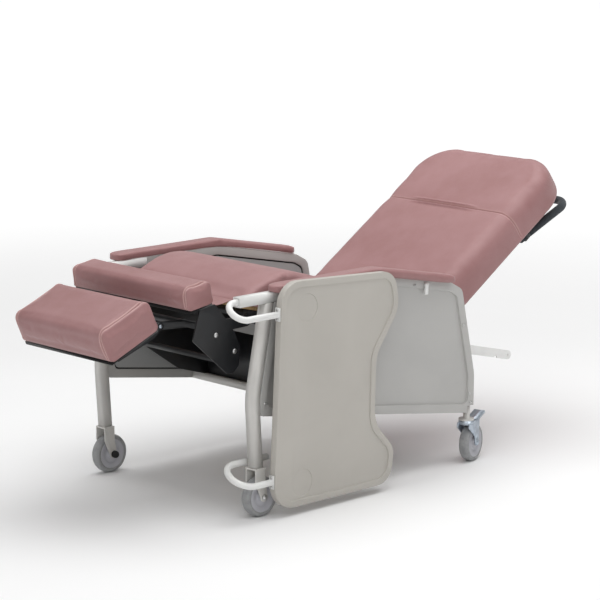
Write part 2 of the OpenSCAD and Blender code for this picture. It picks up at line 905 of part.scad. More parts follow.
module hub_shape() {
    half = tyre_w / 2;
    color(hub_grey)
        rotate([0, 90, 0])
            rotate_extrude($fn = 96)
                polygon([
                    [axle_r + bore_gap, -half - 2], [15, -half - 2], [17, -half + 4], [30, -half + 4],
                    [32, -half + 1], [rim_r - 5, -half + 1], [rim_r - 3, -half], [rim_r, -half],
                    [rim_r, half], [rim_r - 3, half], [rim_r - 5, half - 1], [32, half - 1],
                    [30, half - 4], [17, half - 4], [15, half + 2], [axle_r + bore_gap, half + 2]]);
}

module at_front_wheel(left) {
    translate([left ? frame_x : -frame_x, front_axle_y, wheel_r]) children();
}

module at_rear_wheel(left) {
    at_caster(left) translate([0, trail, wheel_r]) children();
}

// ---- Rear casters ----

pedal_pivot = [trail + 10, fork_top - 10];
module caster_fork(left) {
    color(zinc)
        at_caster(left)
            difference() {
                union() {
                    translate([0, 0, fork_top - 14]) cylinder(r = raceway_r, h = 14);
                    box([-fork_in - fork_wall, -20, fork_top - 14], [fork_in + fork_wall, trail, fork_top - 8]);
                    for (s = [-1, 1])
                        translate([s * (fork_in + fork_wall / 2), 0, 0])
                            caster_fork_side();
                    rod_x([trail, wheel_r], axle_r, -fork_in - fork_wall - 4, fork_in + fork_wall + 4);
                    rod_x([trail, wheel_r], axle_r + 3, fork_in + fork_wall, fork_in + fork_wall + 4);
                    rod_x([trail, wheel_r], axle_r + 3, -fork_in - fork_wall - 4, -fork_in - fork_wall);
                }
                translate([0, 0, fork_top - 20]) cylinder(r = kingpin_r + bore_gap, h = 30);
                rod_x(pedal_pivot, 3 + bore_gap, -60, 60);
            }
}

module caster_fork_side() {
    side_prism(rounded([
        [-22, fork_top - 8], [-24, fork_top - 24], [trail - 14, wheel_r + 22], [trail - 13, wheel_r - 2],
        [trail, wheel_r - 13], [trail + 13, wheel_r - 2], [trail + 14, wheel_r + 34],
        [pedal_pivot.x + 6, pedal_pivot.y - 7], [pedal_pivot.x + 6, pedal_pivot.y + 6],
        [trail, fork_top - 3]], [4, 6, 20, 6, 8, 6, 14, 4, 3, 4]), -fork_wall / 2, fork_wall / 2);
}

module caster_pedal(left) {
    half = fork_in - body_gap;
    p = pedal_pivot;
    color(zinc)
        at_caster(left) {
            rod_x(p, 3, -fork_in - fork_wall, fork_in + fork_wall);
            side_prism(rounded([
                [p.x - 5, p.y - 4], [p.x + 5, p.y - 4], [p.x + 26, p.y + 5], [p.x + 54, p.y + 13],
                [p.x + 58, p.y + 20], [p.x + 52, p.y + 23], [p.x + 22, p.y + 14], [p.x - 4, p.y + 6]],
                [1, 2, 6, 2, 2, 2, 6, 2]), -half, half);
        }
}

// ---- Assembly ----

side_panel(true);  // side_panel_left
side_panel(false);  // side_panel_right
panel_liners();
panel_screws();
front_leg(true);  // front_leg_left
front_leg(false);  // front_leg_right
front_fork(true);  // front_fork_left
front_fork(false);  // front_fork_right
front_axles();
arm_socket(true);  // arm_socket_left
arm_socket(false);  // arm_socket_right
arm_flanges();
arm_pad(true);  // arm_pad_left
arm_pad(false);  // arm_pad_right
crossbars();
mechanism_plates();
mechanism_shield();
mechanism_spacers();
seat_pivot_pins();
bar_guide();
caster_stems();
position_bar();
release_lever();
seat_cushion();
seat_board();
seat_rails();
seat_cross_tubes();
seat_flap();
back_hinge_pins();
leg_hinge_pins();
back_cushion();
back_cover();
back_uprights();
back_cross_tubes();
push_handle();
calf_pad();
calf_board();
leg_plates();
leg_cross_tubes();
foot_hinge_pins();
foot_pad();
foot_board();
foot_arms();
tray();
tray_tube_upper();
tray_tube_lower();
tray_screws();
at_front_wheel(true) tyre_shape();  // front_tyre_left
at_front_wheel(true) hub_shape();  // front_hub_left
at_front_wheel(false) tyre_shape();  // front_tyre_right
at_front_wheel(false) hub_shape();  // front_hub_right
caster_fork(true);  // caster_fork_left
caster_pedal(true);  // caster_pedal_left
at_rear_wheel(true) tyre_shape();  // rear_tyre_left
at_rear_wheel(true) hub_shape();  // rear_hub_left
caster_fork(false);  // caster_fork_right
caster_pedal(false);  // caster_pedal_right
at_rear_wheel(false) tyre_shape();  // rear_tyre_right
at_rear_wheel(false) hub_shape();  // rear_hub_right
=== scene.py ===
"""Patient recliner chair: upholstery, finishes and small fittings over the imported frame."""

import math

import bpy
import numpy as np
from mathutils import Matrix, Vector


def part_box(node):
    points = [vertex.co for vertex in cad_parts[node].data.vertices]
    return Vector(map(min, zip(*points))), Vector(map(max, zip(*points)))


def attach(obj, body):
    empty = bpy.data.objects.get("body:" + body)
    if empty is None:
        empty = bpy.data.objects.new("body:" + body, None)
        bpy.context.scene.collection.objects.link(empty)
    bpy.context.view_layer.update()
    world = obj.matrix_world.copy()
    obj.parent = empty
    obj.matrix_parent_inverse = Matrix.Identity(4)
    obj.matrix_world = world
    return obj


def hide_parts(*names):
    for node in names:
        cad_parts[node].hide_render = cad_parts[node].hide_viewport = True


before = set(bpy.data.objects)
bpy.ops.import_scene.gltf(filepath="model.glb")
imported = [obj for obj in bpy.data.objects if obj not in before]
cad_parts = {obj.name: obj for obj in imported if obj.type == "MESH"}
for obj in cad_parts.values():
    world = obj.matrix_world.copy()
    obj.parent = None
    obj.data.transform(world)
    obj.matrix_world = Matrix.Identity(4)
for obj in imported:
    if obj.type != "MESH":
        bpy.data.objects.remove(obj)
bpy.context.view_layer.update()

MM = 0.001


# ---------------------------------------------------------------- camera, light and floor

def aim(thing, target):
    """Turns a camera or lamp towards a point."""
    away = Vector(target) - thing.location
    thing.rotation_euler = away.to_track_quat("-Z", "Y").to_euler()


bpy.ops.object.camera_add(location=(5.767, -5.411, 2.102))
camera = bpy.context.object
camera.name = "camera"
camera.data.lens = 149.7
camera.data.clip_end = 200
aim(camera, (0, 0.0561, 0.5495))
bpy.context.scene.camera = camera
bpy.context.scene.view_settings.view_transform = "Standard"


def softbox(name, place, target, size, power):
    """A large square area lamp."""
    bpy.ops.object.light_add(type="AREA", location=place)
    lamp = bpy.context.object
    lamp.name = name
    lamp.data.shape = "RECTANGLE"
    lamp.data.size, lamp.data.size_y = size
    lamp.data.energy = power
    aim(lamp, target)


softbox("overhead", (0.2, 0.5, 4.2), (0, 0, 0.4), (4.5, 4.5), 158)
softbox("key", (3.4, -3.4, 3.6), (0, 0, 0.5), (2.4, 2.4), 41)
softbox("fill", (-3.6, -3.2, 2.4), (0, 0, 0.5), (2.4, 2.4), 5)

sky = bpy.data.worlds.new("studio")
bpy.context.scene.world = sky
sky.use_nodes = True
sky.node_tree.nodes["Background"].inputs["Color"].default_value = (1.0, 1.0, 1.0, 1)
sky.node_tree.nodes["Background"].inputs["Strength"].default_value = 0.43


# ---------------------------------------------------------------- finishes

def srgb(red, green, blue):
    """A linear colour from display values of 0 to 255."""
    def straight(v):
        v /= 255
        return v / 12.92 if v <= 0.04045 else ((v + 0.055) / 1.055) ** 2.4
    return (straight(red), straight(green), straight(blue), 1)


class Out:
    """A value on a finish's surface. Python's operators on it add Math nodes."""

    def __init__(self, finish, socket):
        self.finish, self.socket = finish, socket

    def maths(self, operation, *values):
        return self.finish.node("ShaderNodeMath", {"operation": operation}, dict(enumerate(values)))

    def __add__(self, other):
        return self.maths("ADD", self, other)

    def __radd__(self, other):
        return self.maths("ADD", other, self)

    def __sub__(self, other):
        return self.maths("SUBTRACT", self, other)

    def __rsub__(self, other):
        return self.maths("SUBTRACT", other, self)

    def __mul__(self, other):
        return self.maths("MULTIPLY", self, other)

    def __rmul__(self, other):
        return self.maths("MULTIPLY", other, self)

    def __pow__(self, other):
        return self.maths("POWER", self, other)

    def between(self, low, high):
        """0 below low, 1 above high, smooth in between."""
        return self.finish.node(
            "ShaderNodeMapRange", {"interpolation_type": "SMOOTHSTEP"},
            {"Value": self, "From Min": low, "From Max": high})


class Finish:
    """A procedural material, read on Object coordinates."""

    def __init__(self, name, **constants):
        self.material = bpy.data.materials.new(name)
        self.material.use_nodes = True
        self.tree = self.material.node_tree
        self.shader = self.tree.nodes["Principled BSDF"]
        for socket, value in constants.items():
            self.shader.inputs[socket.replace("_", " ")].default_value = value
        self.place = self.node("ShaderNodeTexCoord", {}, {}, "Object")

    def node(self, kind, settings, values, output=0):
        """Adds a node: its settings first, a ramp's stops among them, then its sockets."""
        made = self.tree.nodes.new(kind)
        for setting, value in settings.items():
            if setting == "stops":
                ramp = made.color_ramp.elements
                for stop, (place, colour) in zip((ramp[0], ramp[1]), (value[0], value[-1])):
                    stop.position, stop.color = place, colour
                for place, colour in value[1:-1]:
                    ramp.new(place).color = colour
            else:
                setattr(made, setting, value)
        for socket, value in values.items():
            if isinstance(value, Out):
                self.tree.links.new(value.socket, made.inputs[socket])
            else:
                made.inputs[socket].default_value = value
        return Out(self, made.outputs[output])

    def noise(self, scale, detail=3.0, rough=0.5, warp=0.0, at=None):
        return self.node(
            "ShaderNodeTexNoise", {},
            {"Vector": at or self.place, "Scale": scale, "Detail": detail,
             "Roughness": rough, "Distortion": warp})

    def cells(self, scale, feature="F1", at=None):
        return self.node(
            "ShaderNodeTexVoronoi", {"feature": feature},
            {"Vector": at or self.place, "Scale": scale})

    def stretched(self, x, y, z):
        """The place on the surface, scaled along each axis."""
        return self.node("ShaderNodeMapping", {}, {"Vector": self.place, "Scale": (x, y, z)})

    def ramp(self, value, *stops):
        return self.node("ShaderNodeValToRGB", {"stops": stops}, {"Fac": value})

    def mix(self, amount, one, other):
        return self.node(
            "ShaderNodeMix", {"data_type": "RGBA"}, {0: amount, 6: one, 7: other}, 2)

    def bump(self, height, distance, strength=1.0, under=None):
        values = {"Height": height, "Distance": distance, "Strength": strength}
        if under:
            values["Normal"] = under
        return self.node("ShaderNodeBump", {}, values)

    def wear(self, **sockets):
        """Links what varies over the surface to the shader, and gives the material."""
        for socket, value in sockets.items():
            self.tree.links.new(value.socket, self.shader.inputs[socket.replace("_", " ")])
        return self.material


def vinyl(name, colour, light, deep):
    """Upholstery vinyl: pressed leather grain, soft satin gloss, slight rub on the high spots, painted shade
    in the grain's creases and a painted highlight along the seams.
    """
    f = Finish(name, Coat_Roughness=0.38, Specular_IOR_Level=0.42,
               Sheen_Weight=0.12, Sheen_Roughness=0.45)
    drift = f.noise(3.2, 3, 0.55)
    cloud = f.noise(17, 4, 0.6)
    # A painted highlight along the seams, read from a point attribute of the pads and mixed towards a light
    # rose
    sewn = f.node("ShaderNodeAttribute", {"attribute_name": "sewn"}, {}, "Fac")
    shade = f.mix(sewn * 0.75, f.ramp(drift * 0.7 + cloud * 0.3, (0.32, deep), (0.5, colour), (0.7, light)),
                  srgb(214, 176, 171))
    pebbles = f.cells(620, "DISTANCE_TO_EDGE")
    creases = pebbles.between(0.0, 0.16)
    fine = f.noise(1500, 2, 0.6)
    long_creases = f.cells(210, "DISTANCE_TO_EDGE", f.stretched(1, 1.15, 0.9))
    # The grain's creases mixed a little towards the deep colour: painted shade in the grain
    crease_shaded_tone = f.mix(creases * 0.35 + 0.65, deep, shade)
    height = creases * 0.7 + long_creases.between(0.0, 0.1) * 0.25 + fine * 0.2
    grain = f.bump(height, 0.00022, 0.55)
    soft = f.bump(f.noise(11, 2, 0.5, 0.4), 0.004, 0.22, grain)
    return f.wear(Base_Color=crease_shaded_tone, Roughness=0.50 - creases * 0.08 + cloud * 0.1,
                  Coat_Weight=cloud.between(0.35, 0.7) * 0.14 + 0.05, Normal=soft)


def moulded(name, colour, shade, grain_scale, grain_depth, rough):
    """Moulded plastic with a spark-eroded texture and faint flow marks."""
    f = Finish(name, Specular_IOR_Level=0.45, Coat_Roughness=0.3)
    flow = f.noise(2.4, 4, 0.55, 0.8)
    speck = f.noise(grain_scale, 3, 0.65)
    pits = f.cells(grain_scale * 0.8)
    tone = f.mix(flow.between(0.3, 0.7) * 0.6 + speck * 0.4, shade, colour)
    scuff = f.noise(48, 5, 0.7, at=f.stretched(1, 0.35, 1)).between(0.56, 0.74)
    return f.wear(Base_Color=tone, Roughness=rough + speck * 0.12 - scuff * 0.1,
                  Normal=f.bump(speck * 0.6 + pits * 0.4, grain_depth, 0.6))


def painted(name, colour, shade, rough, peel=0.00012):
    """Powder coat: orange peel, faint dust in the tone, a few rubbed patches."""
    f = Finish(name, Specular_IOR_Level=0.5, Coat_Weight=0.18, Coat_Roughness=0.22)
    skin = f.noise(420, 2, 0.45)
    patch = f.noise(7, 4, 0.6)
    tone = f.mix(patch.between(0.35, 0.75), colour, shade)
    rubbed = f.noise(70, 5, 0.7, at=f.stretched(0.6, 0.6, 1.6)).between(0.62, 0.78)
    return f.wear(Base_Color=tone, Roughness=rough + patch * 0.1 - rubbed * 0.08,
                  Normal=f.bump(skin + rubbed * 0.15, peel, 0.6))


def plated(name, colour, shade, rough):
    """Zinc-plated steel: bright, faintly blue, with passivation clouds and fine scratches."""
    f = Finish(name, Metallic=1.0)
    cloud = f.noise(34, 4, 0.6, 0.6)
    tone = f.ramp(cloud, (0.3, shade), (0.55, colour), (0.8, shade))
    scratch = f.noise(900, 2, 0.5, at=f.stretched(0.08, 1, 1))
    return f.wear(Base_Color=tone, Roughness=rough + cloud * 0.18 + scratch * 0.06,
                  Normal=f.bump(scratch, 0.00004, 0.5))


def rubber(name, colour, shade):
    """Non-marking tyre rubber: fine moulding grain, dust on the tread."""
    f = Finish(name, Specular_IOR_Level=0.35, Sheen_Weight=0.08)
    dust = f.noise(42, 5, 0.65)
    grain = f.noise(1100, 2, 0.6)
    tone = f.mix(dust.between(0.4, 0.7), colour, shade)
    return f.wear(Base_Color=tone, Roughness=0.62 + dust * 0.22,
                  Normal=f.bump(grain * 0.6 + dust * 0.8, 0.00025, 0.6))


def foam_grip(name, colour, shade):
    """Closed-cell foam sleeve: small open pores over a dull skin, the pores painted darker as shade."""
    f = Finish(name, Specular_IOR_Level=0.25, Sheen_Weight=0.2)
    pores = f.cells(780).between(0.1, 0.55)
    skin = f.noise(26, 4, 0.6)
    # Pores darker than the skin: painted shade in the pores; the skin noise is tone that varies at random
    tone = f.mix(pores * 0.5 + skin * 0.5, shade, colour)
    return f.wear(Base_Color=tone, Roughness=0.72 + skin * 0.15,
                  Normal=f.bump(pores, 0.0003, 0.7))


def plywood(name, face, grain):
    """Birch ply: long growth bands and short pores."""
    f = Finish(name, Specular_IOR_Level=0.3)
    bands = f.noise(9, 5, 0.6, 1.2, f.stretched(1, 9, 9))
    pores = f.noise(210, 3, 0.6, at=f.stretched(0.12, 1, 1))
    tone = f.ramp(bands * 0.75 + pores * 0.25, (0.32, grain), (0.52, face), (0.75, grain))
    return f.wear(Base_Color=tone, Roughness=0.6 + pores * 0.2,
                  Normal=f.bump(pores + bands * 0.5, 0.0002, 0.5))


def woven(name, colour, shade):
    """Open plain weave of the cloth stapled under a seat."""
    f = Finish(name, Specular_IOR_Level=0.15, Sheen_Weight=0.25)
    warp = f.node("ShaderNodeTexWave", {"bands_direction": "X"}, {"Vector": f.place, "Scale": 260.0}, 1)
    weft = f.node("ShaderNodeTexWave", {"bands_direction": "Y"}, {"Vector": f.place, "Scale": 260.0}, 1)
    lint = f.noise(55, 4, 0.6)
    threads = warp * 0.5 + weft * 0.5
    tone = f.mix(threads * 0.6 + lint * 0.4, shade, colour)
    return f.wear(Base_Color=tone, Roughness=0.8 + lint * 0.12,
                  Normal=f.bump(threads, 0.0003, 0.7))


def twisted(name, colour, shade):
    """Bonded sewing thread."""
    f = Finish(name, Specular_IOR_Level=0.35, Sheen_Weight=0.3)
    strands = f.noise(2600, 2, 0.5)
    return f.wear(Base_Color=f.mix(strands, shade, colour), Roughness=0.5 + strands * 0.2,
                  Normal=f.bump(strands, 0.0001, 0.8))


ROSE = vinyl("rose_vinyl", srgb(157, 115, 115), srgb(165, 124, 124), srgb(148, 105, 104))
# A darker copy of the rose vinyl for the flap's underside: painted shade
FLAP_UNDERSIDE_SHADE = vinyl("flap_underside_painted_shade", srgb(92, 62, 58), srgb(104, 72, 66), srgb(66, 42, 40))
PANEL = moulded("grey_panel", srgb(186, 185, 182), srgb(176, 175, 173), 900, 0.00018, 0.46)
LINER = moulded("grey_liner", srgb(170, 171, 170), srgb(160, 161, 161), 900, 0.00018, 0.5)
TRAY = moulded("warm_grey_tray", srgb(188, 184, 177), srgb(178, 174, 167), 1200, 0.00012, 0.36)
HUB = moulded("grey_hub", srgb(190, 190, 196), srgb(174, 174, 180), 800, 0.0001, 0.34)
# Black moulded plastic for the axle cap and for the strips painted as shadow in the liners' gaps
BLACK_MOULDING = moulded("black_moulding", srgb(24, 24, 25), srgb(16, 16, 17), 700, 0.0002, 0.62)
WHITE = painted("white_powder_coat", srgb(232, 232, 230), srgb(222, 222, 220), 0.34)
GREY_PAINT = painted("grey_powder_coat", srgb(212, 210, 206), srgb(202, 200, 196), 0.36)
BLACK = painted("black_powder_coat", srgb(19, 21, 25), srgb(12, 13, 16), 0.46)
DUST_COVER = woven("black_dust_cover", srgb(24, 23, 24), srgb(12, 12, 13))
ZINC = plated("zinc_plate", srgb(196, 206, 216), srgb(166, 176, 188), 0.26)
STEEL = plated("bright_steel", srgb(214, 214, 212), srgb(186, 187, 188), 0.2)
TYRE = rubber("grey_tyre", srgb(158, 159, 160), srgb(140, 141, 142))
GRIP = foam_grip("dark_foam", srgb(58, 63, 68), srgb(42, 47, 51))
PLY = plywood("birch_ply", srgb(196, 166, 122), srgb(160, 128, 88))
THREAD = twisted("rose_thread", srgb(206, 172, 168), srgb(178, 142, 138))


# ---------------------------------------------------------------- mesh helpers

def only(piece):
    """Deselects everything else and makes the piece active."""
    if bpy.context.object and bpy.context.object.mode != "OBJECT":
        bpy.ops.object.mode_set(mode="OBJECT")
    bpy.ops.object.select_all(action="DESELECT")
    bpy.context.view_layer.objects.active = piece
    piece.select_set(True)


def editing(piece, kind="VERT"):
    """Enters edit mode with nothing selected."""
    only(piece)
    bpy.ops.object.mode_set(mode="EDIT")
    bpy.ops.mesh.select_mode(type=kind)
    bpy.ops.mesh.select_all(action="DESELECT")


def done():
    bpy.ops.object.mode_set(mode="OBJECT")


def points(piece):
    """The piece's vertices, as an array of places."""
    flat = np.empty(len(piece.data.vertices) * 3)
    piece.data.vertices.foreach_get("co", flat)
    return flat.reshape(-1, 3)


def put(piece, places):
    piece.data.vertices.foreach_set("co", np.ascontiguousarray(places, float).ravel())
    piece.data.update()


def normals(piece):
    flat = np.empty(len(piece.data.vertices) * 3)
    piece.data.vertex_normals.foreach_get("vector", flat)
    return flat.reshape(-1, 3)


def settle(piece):
    """Moves the piece's place, turn and scale into its mesh."""
    only(piece)
    bpy.ops.object.transform_apply(location=True, rotation=True, scale=True)


def apply(piece, kind, **settings):
    """Adds a modifier and applies it."""
    only(piece)
    modifier = piece.modifiers.new(kind.lower(), kind)
    for setting, value in settings.items():
        setattr(modifier, setting, value)
    bpy.ops.object.modifier_apply(modifier=modifier.name)


def merged_copy(node, name):
    """A copy of a CAD node's mesh as a new piece, its loose triangles joined."""
    piece = bpy.data.objects.new(name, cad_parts[node].data.copy())
    bpy.context.scene.collection.objects.link(piece)
    piece.data.materials.clear()
    apply(piece, "WELD", merge_threshold=0.00002)
    return piece


def laid_out(name, vertices, edges, faces):
    """A piece made of given vertices, edges and faces."""
    mesh = bpy.data.meshes.new(name)
    mesh.from_pydata(vertices, edges, faces)
    piece = bpy.data.objects.new(name, mesh)
    bpy.context.scene.collection.objects.link(piece)
    return piece


def finished(piece, body, slot, *materials):
    """Gives a piece its finish and its body, with smooth shading between its hard edges."""
    piece.data.materials.clear()
    for material in materials:
        piece.data.materials.append(material)
    only(piece)
    bpy.ops.object.shade_smooth_by_angle(angle=math.radians(38))
    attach(piece, body)


# ---------------------------------------------------------------- CAD nodes that stay

def dress(nodes, material, edge, kept_smooth=32):
    """A finish and softly broken edges for CAD nodes whose shape stays."""
    for node in nodes:
        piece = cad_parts[node]
        piece.data.materials.clear()
        piece.data.materials.append(material)
        weld = piece.modifiers.new("joined", "WELD")
        weld.merge_threshold = 0.00002
        if edge:
            flat = piece.modifiers.new("flat_faces", "DECIMATE")
            flat.decimate_type = "DISSOLVE"
            flat.angle_limit = math.radians(0.6)
            broken = piece.modifiers.new("broken_edges", "BEVEL")
            broken.width = edge * MM
            broken.segments = 3
            broken.limit_method = "ANGLE"
            broken.angle_limit = math.radians(kept_smooth)
            broken.use_clamp_overlap = False
            broken.harden_normals = True
        only(piece)
        bpy.ops.object.shade_smooth_by_angle(angle=math.radians(kept_smooth))


dress(["side_panel_left", "side_panel_right"], PANEL, 1.2)
dress(["panel_liners"], LINER, 0.8)
dress(["panel_screws", "tray_screws", "front_axles"], STEEL, 0)
dress(["front_leg_left", "front_leg_right"], GREY_PAINT, 0)
dress(["front_fork_left", "front_fork_right"], GREY_PAINT, 0.5)
dress(["arm_socket_left", "arm_socket_right"], WHITE, 0)
dress(["arm_flanges", "release_lever"], WHITE, 0)
dress(["caster_stems", "crossbars"], GREY_PAINT, 0)
dress(["position_bar"], WHITE, 0.5)
dress(["mechanism_plates", "leg_plates"], BLACK, 0.6)
dress(["mechanism_shield", "mechanism_spacers", "bar_guide", "seat_rails", "seat_cross_tubes",
       "back_uprights", "back_cross_tubes", "leg_cross_tubes", "foot_arms"], BLACK, 0)
dress(["seat_pivot_pins", "back_hinge_pins", "leg_hinge_pins", "foot_hinge_pins"], ZINC, 0)
dress(["seat_board"], PLY, 0)
dress(["calf_board", "foot_board"], DUST_COVER, 0)
dress(["push_handle"], GRIP, 0)
dress(["tray"], TRAY, 1.0)
dress(["tray_tube_upper", "tray_tube_lower"], WHITE, 0)
for corner in ("front", "rear"):
    for side in ("left", "right"):
        dress([f"{corner}_tyre_{side}"], TYRE, 0)
        dress([f"{corner}_hub_{side}"], HUB, 0)
dress(["caster_fork_left", "caster_fork_right"], ZINC, 0)
dress(["caster_pedal_left", "caster_pedal_right"], ZINC, 0)


# ---------------------------------------------------------------- upholstery

def leaning(y, z, degrees):
    """The place and tilt of a pad's own axes: Y along it, Z out of its face."""
    return Matrix.Translation((0, y, z)) @ Matrix.Rotation(math.radians(degrees), 4, "X")


def puff(piece, cap, held):
    """Fills a shell with air in a cloth simulation. held(places) is 0 where a point stays."""
    start = points(piece)
    scene = bpy.context.scene
    cloth = piece.modifiers.new("cloth", "CLOTH")
    cloth.settings.quality = 4
    cloth.settings.use_pressure = True
    cloth.settings.uniform_pressure_force = 4
    cloth.settings.tension_stiffness = 12
    cloth.settings.compression_stiffness = 12
    cloth.settings.effector_weights.gravity = 0
    cloth.point_cache.frame_start = 1
    cloth.point_cache.frame_end = 20
    for number in range(1, 21):
        scene.frame_set(number)
    shaped = piece.evaluated_get(bpy.context.evaluated_depsgraph_get())
    flat = np.empty(len(shaped.data.vertices) * 3)
    shaped.data.vertices.foreach_get("co", flat)
    moved = flat.reshape(-1, 3) - start
    piece.modifiers.remove(cloth)
    scene.frame_set(1)
    length = np.linalg.norm(moved, axis=1, keepdims=True) + 1e-9
    moved *= np.minimum(1, cap / length)
    put(piece, start + moved * held(start)[:, None])


def fit(piece, low, high):
    """Scales the piece to a box."""
    now = points(piece)
    a, b = now.min(0), now.max(0)
    put(piece, low + (now - a) * (high - low) / (b - a))


def own_copy(node, name, axes):
    """A merged copy of a CAD node, moved into its own axes."""
    piece = merged_copy(node, name)
    piece.data.transform(axes.inverted())
    return piece


def pad_form(piece, voxel, pull, cap, held=None, crown=(0, 0, 0), soften=6, calm=4):
    """A padded form over a shell in the pad's own axes, filled tight to its box."""
    places = points(piece)
    low, high = places.min(0), places.max(0)
    middle = (low + high) / 2
    put(piece, middle + (places - middle) * (1 - 2 * pull / (high - low)))
    piece.data.remesh_voxel_size = voxel
    only(piece)
    bpy.ops.object.voxel_remesh()
    held = held or (lambda p: np.ones(len(p)))

    def ease(rounds):
        before = points(piece)
        apply(piece, "SMOOTH", factor=0.5, iterations=rounds)
        put(piece, before + (points(piece) - before) * held(before)[:, None])

    ease(soften)
    puff(piece, cap, held)
    ease(calm)
    apply(piece, "SUBSURF", levels=1, render_levels=1)
    grown = np.array(crown)
    fit(piece, low - grown, high + grown)
    return low, high


def cut_loops(piece, axis, places):
    """Runs rings of edges round the piece where it crosses planes across an axis."""
    editing(piece)
    across = tuple(1.0 if i == axis else 0.0 for i in range(3))
    for place in places:
        bpy.ops.mesh.select_all(action="SELECT")
        bpy.ops.mesh.bisect(
            plane_co=tuple(place if i == axis else 0.0 for i in range(3)),
            plane_no=across, threshold=0.00005)
    done()


def ring_on(piece, axis, place):
    """The vertices of the ring cut at a plane, in order round the piece."""
    mesh = piece.data
    on = np.abs(points(piece)[:, axis] - place) < 0.00012
    pairs = np.empty(len(mesh.edges) * 2, int)
    mesh.edges.foreach_get("vertices", pairs)
    pairs = pairs.reshape(-1, 2)
    pairs = pairs[on[pairs].all(1)]
    near = {}
    for a, b in pairs.tolist():
        near.setdefault(a, []).append(b)
        near.setdefault(b, []).append(a)
    rings, seen = [], set()
    for first in near:
        if first in seen:
            continue
        ring, at = [first], first
        seen.add(first)
        while True:
            ahead = [n for n in near[at] if n not in seen]
            if not ahead:
                break
            at = ahead[0]
            seen.add(at)
            ring.append(at)
        rings.append(ring)
    return max(rings, key=len)


bpy.ops.mesh.primitive_uv_sphere_add(segments=6, ring_count=4, radius=1)
stitch = bpy.context.object
stitch.name = "stitch_pattern"
for place, radius in ((0, 0.0008), (1, 0.0019), (2, 0.0006)):
    for vertex in stitch.data.vertices:
        vertex.co[place] *= radius
STITCH = points(stitch)
STITCH_FACES = [tuple(f.vertices) for f in stitch.data.polygons]
bpy.data.objects.remove(stitch)


def sew(name, lines, axes, body):
    """A row of stitches along each line of (places, outward normals), as one piece."""
    vertices, faces = [], []
    for line, outward in lines:
        steps = np.linalg.norm(np.diff(line, axis=0), axis=1)
        along = np.concatenate(([0], np.cumsum(steps)))
        for run in np.arange(0.003, along[-1] - 0.003, 0.0048):
            here = np.array([np.interp(run, along, line[:, i]) for i in range(3)])
            ahead = np.array([np.interp(run + 0.002, along, line[:, i]) for i in range(3)])
            up = np.array([np.interp(run, along, outward[:, i]) for i in range(3)])
            way = ahead - here
            way /= np.linalg.norm(way) + 1e-12
            up -= way * up.dot(way)
            up /= np.linalg.norm(up) + 1e-12
            side = np.cross(way, up)
            base = len(vertices)
            vertices.extend(here + up * 0.0001 + STITCH @ np.array([side, way, up]))
            faces.extend(tuple(base + i for i in face) for face in STITCH_FACES)
    piece = laid_out(name, [tuple(v) for v in vertices], [], faces)
    piece.data.transform(axes)
    editing(piece)
    bpy.ops.mesh.select_all(action="SELECT")
    bpy.ops.mesh.normals_make_consistent(inside=False)
    done()
    finished(piece, body, "vinyl", THREAD)


def paint_seam_highlight(piece, amount):
    """Stores how much painted highlight the vinyl gets along its seams."""
    layer = piece.data.attributes.new("sewn", "FLOAT", "POINT")
    layer.data.foreach_set("value", amount)


def end_seams(piece, inset, half, name, axes, body):
    """A seam stitched round both ends of a pad, with a row of stitches on each side of it and a painted
    highlight on the welts beside it.
    """
    rows, lines = [], []
    for sign in (-1, 1):
        seam = sign * (half - inset)
        cut_loops(piece, 0, [seam + d * MM for d in (-9, -6.4, -4.2, -2, 0, 2, 4.2, 6.4, 9)])
        rows += [ring_on(piece, 0, seam + d * MM) for d in (-4.2, 4.2)]
    places, outward = points(piece), normals(piece)
    away = np.abs(np.abs(places[:, 0]) - (half - inset))
    sunk = 0.0024 * np.exp(-(away / 0.0019) ** 2) + 0.0009 * np.exp(-(away / 0.009) ** 2)
    welt = 0.0010 * np.exp(-((away - 0.0046) / 0.0021) ** 2)
    places += outward * (welt - sunk)[:, None]
    put(piece, places)
    # Painted highlight on the welts beside each seam
    paint_seam_highlight(piece, np.exp(-((away - 0.0042) / 0.0022) ** 2))
    outward = normals(piece)
    for ring in rows:
        ring = ring + ring[:1]
        lines.append((places[ring], outward[ring]))
    sew(name, lines, axes, body)


def upholstered(piece, axes, body, fill, *nodes):
    """Puts a finished pad in place of its CAD solid."""
    piece.data.transform(axes)
    piece.data.materials.clear()
    piece.data.materials.append(ROSE)
    only(piece)
    bpy.ops.object.shade_smooth()
    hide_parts(*nodes)
    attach(piece, body)


def above(height, over):
    """Holds what lies under a height in the pad's own axes, and frees the rest."""
    return lambda p: np.clip((p[:, 2] - height) / over, 0, 1)


# Legrest and footrest pads: flat on their boards, end panels stitched in, a painted highlight beside the end
# seams
CALF_AXES = leaning(-0.6135, 0.690, 9)
FOOT_AXES = leaning(-0.833, 0.605, 23.3)
for node, name, axes, inset, floor_z, body in (
        ("calf_pad", "legrest_pad", CALF_AXES, 0.013, -0.034, "legrest"),
        ("foot_pad", "footrest_pad", FOOT_AXES, 0.015, -0.050, "footrest")):
    pad = own_copy(node, name, axes)
    low, high = pad_form(pad, 0.0045, 0.001, 0.0035, above(floor_z + 0.006, 0.02),
                         crown=(0.002, 0.001, 0.003), soften=5, calm=5)
    end_seams(pad, inset, high[0], name + "_stitches", axes, body)
    upholstered(pad, axes, body, 0.8, node)

# Seat cushion: high rolled front edge, flat underside along the board
SEAT_AXES = leaning(0, 0.530, -math.degrees(math.atan(0.25)))
seat = own_copy("seat_cushion", "seat_pad", SEAT_AXES)
low, high = pad_form(seat, 0.0065, 0.005, 0.012, above(0.014, 0.03),
                     crown=(0.001, 0.0, 0.0), soften=9, calm=8)
upholstered(seat, SEAT_AXES, "seat", 0.8, "seat_cushion")

